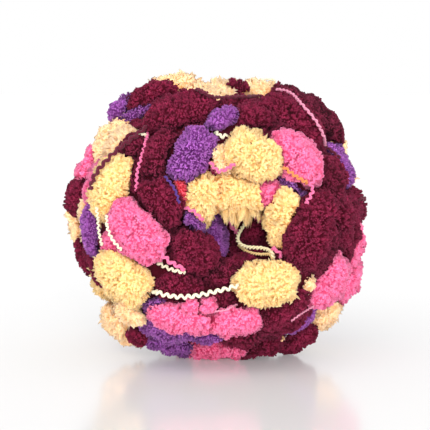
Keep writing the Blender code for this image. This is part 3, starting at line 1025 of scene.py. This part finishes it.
# Each link as it shows from the front: its size and the height of its waves beside the usual ones, the
# points that it runs through, right and up in millimetres, and how far apart its two plies lie
Link = namedtuple("Link", "dye size wave route apart", defaults=(0.3,))
FRONT_LINKS = (
    Link("cream", 1.05, 1.3, ((-41, -47.5), (-30, -50.5), (-17.3, -51), (-2, -48), (14, -44))),
    Link("pink", 1.25, 0.9, ((-37, -21.5), (-31.4, -27.5), (-26.2, -30.7), (-21, -33.3))),
    Link("cream", 0.95, 1.2, ((-37.5, -29.5), (-30.7, -33), (-25.3, -34.6), (-20.5, -35.2))),
    Link("straw", 1.0, 0.1, (
        (18.5, -4), (14, -11), (14, -16), (19, -19.2), (29, -20), (34.5, -22), (36.5, -26)
    ), 0.65),
    Link("peach", 0.8, 0.2, ((14, -18), (20, -22.3), (28, -24), (34, -24), (36, -27)), 0.65),
    Link("pink", 1.5, 0.6, ((5.5, 1.5), (8.8, -4), (13, -10.5))),
    Link("pink", 1.2, 0.8, ((36, -20), (39.5, -22), (41.5, -25.5))),
    Link("pink", 1.0, 1.0, ((-4, 35), (1.1, 29.4), (7.5, 31.4), (11, 34))),
    Link("cream", 0.9, 1.3, ((-0.5, 54.5), (3, 51.5), (6.5, 52.5))),
    Link("cream", 0.8, 1.3, ((-50, 54.5), (-47.5, 53.3), (-45, 52))),
    Link("pink", 0.8, 1.1, ((-44, 54), (-46, 46), (-48.6, 37), (-50.8, 29), (-51.5, 17))),
    Link("cream", 0.7, 1.2, ((-77, 6), (-76, -1.9), (-75.4, -9.6), (-73.5, -18))),
    Link("cream", 0.75, 1.2, ((-70.5, 1), (-70, -6.7), (-66.6, -14.7), (-61, -21))),
    Link("violet", 0.8, 0.8, ((-33, 26), (-27, 18), (-24, 9))),
    Link("pink", 1.0, 1.0, ((-20, 6), (-14.2, 3.2), (-9, -2))),
    Link("orange", 0.9, 1.2, ((43, 32), (50.6, 26.2), (58, 22))),
    Link("pink", 0.9, 1.3, ((66, 26), (60.5, 21.5), (61.5, 16.6), (57.5, 9))),
    Link("rose", 0.6, 0.6, ((-1, -60.5), (5.8, -59.5), (13, -56))),
    Link("rose", 0.55, 0.8, ((48, -66.5), (55, -61.5), (62.5, -57))),
    Link("rose", 1.0, 0.5, (
        (38.4, 81.9), (47.4, 79.4), (55, 71.7), (62.7, 62.7), (67.8, 53.8), (69.8, 46)
    )),
    Link("wine", 1.0, 0.6, ((69, 46), (74, 42), (79, 38))),
    Link("wine", 1.3, 0.8, ((-45, 57.6), (-55.7, 49.3), (-65.3, 41.6), (-76.8, 28.8), (-81, 18))),
    Link("wine", 1.1, 0.3, ((-13, 82), (-3.8, 77.6), (5.8, 76.7), (29, 77.8))),
)

# The links round the rim and the back join the ends of neighbouring puffs. ENDS_SHARE is how far along
# a puff its chain comes out, and BACK_FROM how squarely a link must face away from the front.
BACK_LINK = {"size": 0.9, "wave": 1.2, "apart": 0.3}
SHORTEST_BACK = 14 * MM
LONGEST_BACK = 30 * MM
ENDS_SHARE = 0.42
BACK_FROM = 0.1
BACK_BEND = 0.15
FRONT_LINK_POINTS = 60
BACK_LINK_POINTS = 40

under_chain = crowns + [(core, inner_quads)]
starts = np.cumsum([0] + [len(points) for points, quads in under_chain])
surface = BVHTree.FromPolygons(
    np.concatenate([points for points, quads in under_chain]).tolist(),
    np.concatenate([quads + start for (points, quads), start in zip(under_chain, starts)]).tolist(),
)


def smooth_route(points, count):
    """That many points on a smooth curve through the given ones."""
    points = np.array(points, float)
    padded = np.concatenate([[2 * points[0] - points[1]], points, [2 * points[-1] - points[-2]]])
    at = np.linspace(0, len(points) - 1, count)
    step = np.minimum(at.astype(int), len(points) - 2)
    t = (at - step)[:, None]
    a, b, c, d = (padded[step + k] for k in range(4))
    return 0.5 * (2 * b + (c - a) * t + (2 * a - 5 * b + 4 * c - d) * t**2 + (3 * b - a - 3 * c + d) * t**3)


def evened(values, reach):
    """The values along a line, each the mean of those up to that many steps from it."""
    span = 2 * reach + 1
    return np.convolve(np.pad(values, reach, "edge"), np.full(span, 1 / span), "valid")


def pulled_over(starts, aims):
    """Where a cord lies that is pulled tight over the puffs, along lines from starts towards aims."""
    hits = [surface.ray_cast(Vector(start), Vector(aim)) for start, aim in zip(starts, aims)]
    met = np.array([hit[0] is not None for hit in hits])
    if met.sum() < len(hits) / 2:
        return None, 0
    square = np.array([abs(hit[1].dot(Vector(aim))) for hit, aim in zip(hits, aims) if hit[0] is not None])
    slant = 1 / evened(square, SLANT_EVENED).clip(1 / MOST_SLANT)
    resting = np.array([hit[3] for hit in hits if hit[0] is not None]) - CHAIN_LIFT * slant
    resting[[0, -1]] += CHAIN_LIFT * slant[[0, -1]] + CHAIN_TUCK
    hull = [0]
    for k in range(1, len(resting)):
        while len(hull) > 1:
            i, j = hull[-2], hull[-1]
            if (resting[j] - resting[i]) * (k - i) < (resting[k] - resting[i]) * (j - i):
                break
            hull.pop()
        hull.append(k)
    taut = np.interp(np.arange(len(resting)), hull, resting[hull])
    taut = np.minimum(evened(evened(taut, TAUT_EVENED), TAUT_EVENED), resting)
    slack = evened(resting, SLACK_EVENED)
    depth = taut + (np.minimum(slack, resting + CHAIN_TUCK) - taut) * CHAIN_SLACK
    return starts[met] + aims[met] * depth[:, None], np.ptp(resting)


def beside(centre, up):
    """The directions to a cord's side and straight up from it, all along it."""
    ahead = unit(np.gradient(centre, axis=0))
    side = unit(np.cross(ahead, up))
    return side, np.cross(side, ahead)


def chain_link(route, outs, size, wave, apart):
    """The two plies of one link, as corners and faces, along points with their directions outward."""
    run = np.concatenate([[0], np.cumsum(np.linalg.norm(np.diff(route, axis=0), axis=1))])
    count = max(FEWEST_RINGS, int(run[-1] / RING_STEP))
    at = np.linspace(0, run[-1], count)
    centre = np.stack([np.interp(at, run, route[:, k]) for k in range(3)], 1)
    up = np.stack([np.interp(at, run, outs[:, k]) for k in range(3)], 1)
    side, up = beside(centre, up)
    swing = 2 * math.pi * at / (WAVE_LENGTH * size)
    centre = centre + side * (np.sin(swing) * WAVE_HEIGHT * size * wave)[:, None]
    side, up = beside(centre, up)
    plies = []
    for ply in range(2):
        turn = 2 * math.pi * at / (PLY_TWIST * size) + math.pi * ply
        heart = centre + (side * np.cos(turn)[:, None] + up * np.sin(turn)[:, None]) * apart * size * MM
        rings, shades = [], []
        for k in range(PLY_SIDES):
            spoke = 2 * math.pi * k / PLY_SIDES
            rings.append(heart + (side * math.cos(spoke) + up * math.sin(spoke)) * PLY_THICKNESS / 2 * size)
            # Painted shade, darker where the ply turns in to the other
            shades.append(1 - GROOVE_SHADE * (1 - np.cos(spoke - turn)))
        plies.append((np.stack(rings, 1), np.stack(shades, 1)))
    return plies


def front_link(link):
    """A link of the front, laid over the puffs where it is seen."""
    seen = smooth_route(link.route, FRONT_LINK_POINTS) * MM
    right, up = Vector((1, 0, 0)), Vector((0, math.sin(VIEW_RISE), math.cos(VIEW_RISE)))
    ahead = np.array((0, math.cos(VIEW_RISE), -math.sin(VIEW_RISE)))
    eye = -ahead * VIEW_DISTANCE
    aims = unit(ahead * VIEW_DISTANCE + seen[:, :1] * np.array(right) + seen[:, 1:] * np.array(up))
    route, _ = pulled_over(np.tile(eye, (len(aims), 1)), aims)
    return chain_link(route, -aims[:len(route)], link.size, link.wave, link.apart)


def back_links():
    """Links between the ends of neighbouring puffs round the rim and the back."""
    ends = []
    for number, roll in enumerate(rolls):
        if not roll.front:
            for way in (-1, 1):
                ends.append((number, roll.place + roll.axes[0] * roll.length * ENDS_SHARE * way))
    made, used = [], set()
    for k, (number, end) in enumerate(ends):
        for j in range(k + 1, len(ends)):
            other_number, other_end = ends[j]
            span = np.linalg.norm(other_end - end)
            if other_number == number or {k, j} & used or not SHORTEST_BACK < span < LONGEST_BACK:
                continue
            out = np.array(outward(Vector((end + other_end) / 2)))
            if out[1] < BACK_FROM:
                continue
            bend = np.cross(out, other_end - end) * rng.uniform(-BACK_BEND, BACK_BEND)
            line = smooth_route([end, (end + other_end) / 2 + bend, other_end], BACK_LINK_POINTS)
            outs = np.tile(out, (BACK_LINK_POINTS, 1))
            route, rise = pulled_over(line + out * 3 * PUFF_WIDTH, -outs)
            if route is None or rise > PUFF_WIDTH / 2 or len(route) < BACK_LINK_POINTS:
                continue
            dye = rolls[number].dye
            made.append((dye if dye in CHAIN_DYES else "cream", chain_link(route, outs, **BACK_LINK)))
            used |= {k, j}
            break
    return made


def chain_piece(name, links):
    """One mesh of several links."""
    mesh = bpy.data.meshes.new(name)
    places, faces, dyes, flat = [], [], [], []
    columns = math.ceil(2 * math.sqrt(2 * len(links)))
    start = 0
    for dye, plies in links:
        for ply, shade in plies:
            count = len(ply)
            sides = tube_quads(count - 1, PLY_SIDES)[:, [0, 3, 2, 1]]
            open_ply = tube_map(sides, PLY_SIDES, count - 1)
            flat.append(in_cells(open_ply, np.full(len(sides), len(flat)), columns, columns // 2 + 1))
            faces.append(sides + start)
            places.append(ply.reshape(-1, 3))
            dyes.append(linear(CHAIN_DYES[dye]) * shade.reshape(-1, 1))
            start += count * PLY_SIDES
    mesh.from_pydata(to_world(np.concatenate(places)).tolist(), [], np.concatenate(faces).tolist())
    keep_dyes_and_shade(mesh, np.concatenate(dyes))
    lay_flat(mesh, flat)
    mesh.shade_smooth()
    piece = placed(name, mesh)
    mesh.materials.append(thread)
    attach(piece, "root")
    return piece


finish = Finish(bpy.data.materials.new("chain_thread"))
dye = finish.kept("dye", "Color")
fluff = finish.noise(1400, 3)
finish.put(finish.surface, {
    "Base Color": finish.toned(dye, (fluff - 0.5) * 0.6 + 1.0),
    "Roughness": 0.8,
    "Normal": finish.bump(0.6, fluff),
    "Specular IOR Level": 0.3,
    "Sheen Weight": 0.15,
    "Sheen Roughness": 0.5,
    # Painted light: the thread glows a little in its own colour, to lift the links out of the shade in the
    # hollow
    "Emission Color": dye,
    "Emission Strength": 0.14,
})
thread = finish.made
chain_piece("front_chain", [(link.dye, front_link(link)) for link in FRONT_LINKS])
chain_piece("back_chain", back_links())

# The studio: a pale glossy table, a white room, three soft lights and a long lens. The room shows
# white to the lens and in the table's gloss, and is dimmer as light.

TABLE_REACH = 6
ROOM_LIGHT = 0.56
AIM_OVER_MIDDLE = 1.3 * MM
HALF_VIEW = 137.6 * MM

mesh = bpy.data.meshes.new("table_top")
corners = [(TABLE_REACH * x, TABLE_REACH * y, 0) for x, y in ((-1, -1), (1, -1), (1, 1), (-1, 1))]
mesh.from_pydata(corners, [], [(0, 1, 2, 3)])
placed("table_top", mesh)
top = Finish(bpy.data.materials.new("table_white"))
top.put(top.surface, {"Base Color": (0.93, 0.93, 0.93, 1), "Roughness": 0.17})
top.put(top.surface, {"Emission Color": (1, 1, 1, 1), "Emission Strength": 0.13})
mesh.materials.append(top.made)

room = Finish(bpy.data.worlds.new("white_room"), "Background")
to_lens = room.node("ShaderNodeLightPath", {}, {}, "Is Camera Ray")
to_table = room.node("ShaderNodeLightPath", {}, {}, "Is Glossy Ray")
white = to_lens.sum_of("MAXIMUM", to_lens, to_table)
strength = room.node("ShaderNodeMapRange", {}, {"Value": white, "To Min": ROOM_LIGHT}, "Result")
room.put(room.surface, {"Color": (1, 1, 1, 1), "Strength": strength})
bpy.context.scene.world = room.made

aimed_at = Vector((0, 0, MIDDLE_HEIGHT + AIM_OVER_MIDDLE))
for name, place, spread, power in (
    ("soft_key", (-0.35, -1.0, 0.8), 60, 1.15),
    ("soft_fill", (0.6, -1.0, 0.15), 60, 0.6),
    ("soft_front", (0.1, -1.0, 0.15), 20, 1.35),
):
    lamp = bpy.data.lights.new(name, "SUN")
    lamp.angle = math.radians(spread)
    lamp.energy = power
    lit = placed(name, lamp)
    lit.location = place
    lit.rotation_euler = (-lit.location).to_track_quat("-Z", "Y").to_euler()

lens = bpy.data.cameras.new("camera")
lens.angle = 2 * math.atan(HALF_VIEW / VIEW_DISTANCE)
camera = placed("camera", lens)
forward = Vector((0, math.cos(VIEW_RISE), -math.sin(VIEW_RISE)))
camera.location = aimed_at - forward * VIEW_DISTANCE
camera.rotation_euler = forward.to_track_quat("-Z", "Y").to_euler()
bpy.context.scene.camera = camera
bpy.context.scene.view_settings.view_transform = "Standard"
